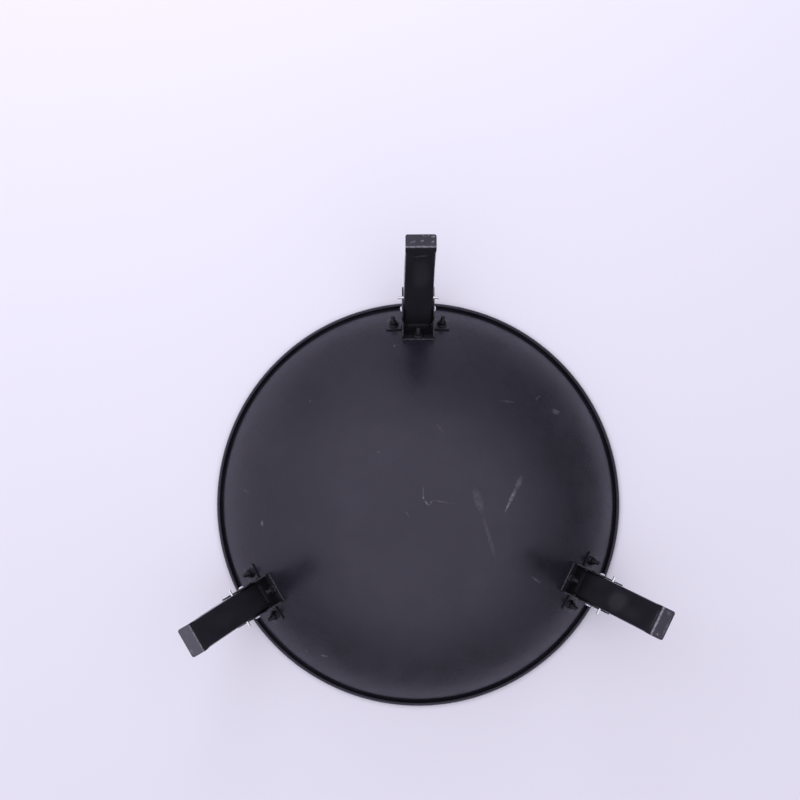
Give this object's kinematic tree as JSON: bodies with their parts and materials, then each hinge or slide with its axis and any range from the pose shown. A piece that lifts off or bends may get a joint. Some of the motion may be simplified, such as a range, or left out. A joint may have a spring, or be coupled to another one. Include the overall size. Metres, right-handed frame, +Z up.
{
  "type": "portable fire bowl",
  "caption": "Shallow round steel fire bowl with a rolled rim, on channel legs that fold inwards under the bowl on riveted brackets.",
  "frame": {"origin": "middle of the bounding box on the floor that the feet stand on; the bowl's axis is 5.7 mm along +X and 33.5 mm along -Y from it", "axes": "+Z up out of the open bowl, +Y from the bowl's axis towards leg 1"},
  "size_m": [0.629, 0.627, 0.215],
  "materials": {
    "black_paint": "semi-matte black heat-resistant paint, lightly scuffed",
    "black_oxide": "blackened steel, low sheen",
    "bright_zinc": "bright zinc plate"
  },
  "bodies": {
    "bowl_assembly": {"bowl": "black_paint", "bracket_1": "black_paint", "bracket_2": "black_paint", "bracket_3": "black_paint", "bracket_screw_1_left": "black_oxide", "bracket_screw_1_right": "black_oxide", "bracket_screw_1_tongue": "black_oxide", "bracket_screw_2_left": "black_oxide", "bracket_screw_2_right": "black_oxide", "bracket_screw_2_tongue": "black_oxide", "bracket_screw_3_left": "black_oxide", "bracket_screw_3_right": "black_oxide", "bracket_screw_3_tongue": "black_oxide", "flange_nut_1_left": "black_oxide", "flange_nut_1_right": "black_oxide", "flange_nut_1_tongue": "black_oxide", "flange_nut_2_left": "black_oxide", "flange_nut_2_right": "black_oxide", "flange_nut_2_tongue": "black_oxide", "flange_nut_3_left": "black_oxide", "flange_nut_3_right": "black_oxide", "flange_nut_3_tongue": "black_oxide", "pivot_rivet_1": "bright_zinc", "pivot_rivet_2": "bright_zinc", "pivot_rivet_3": "bright_zinc"},
    "folding_leg_1": {"leg_1": "black_paint", "stop_pin_1": "bright_zinc"},
    "folding_leg_2": {"leg_2": "black_paint", "stop_pin_2": "bright_zinc"},
    "folding_leg_3": {"leg_3": "black_paint", "stop_pin_3": "bright_zinc"}
  },
  "joints": [
    {"name": "fold_leg_1", "type": "hinge", "parent": "bowl_assembly", "child": "folding_leg_1", "pos_m": [0.00697, 0.23241, 0.16673], "axis": [-1, 0.007, 0], "range_deg": [0, 80]},
    {"name": "fold_leg_2", "type": "hinge", "parent": "bowl_assembly", "child": "folding_leg_2", "pos_m": [0.23547, -0.16658, 0.16673], "axis": [0.5, 0.866, 0], "range_deg": [0, 80]},
    {"name": "fold_leg_3", "type": "hinge", "parent": "bowl_assembly", "child": "folding_leg_3", "pos_m": [-0.23397, -0.15019, 0.16673], "axis": [0.4384, -0.8988, 0], "range_deg": [0, 80]}
  ]
}
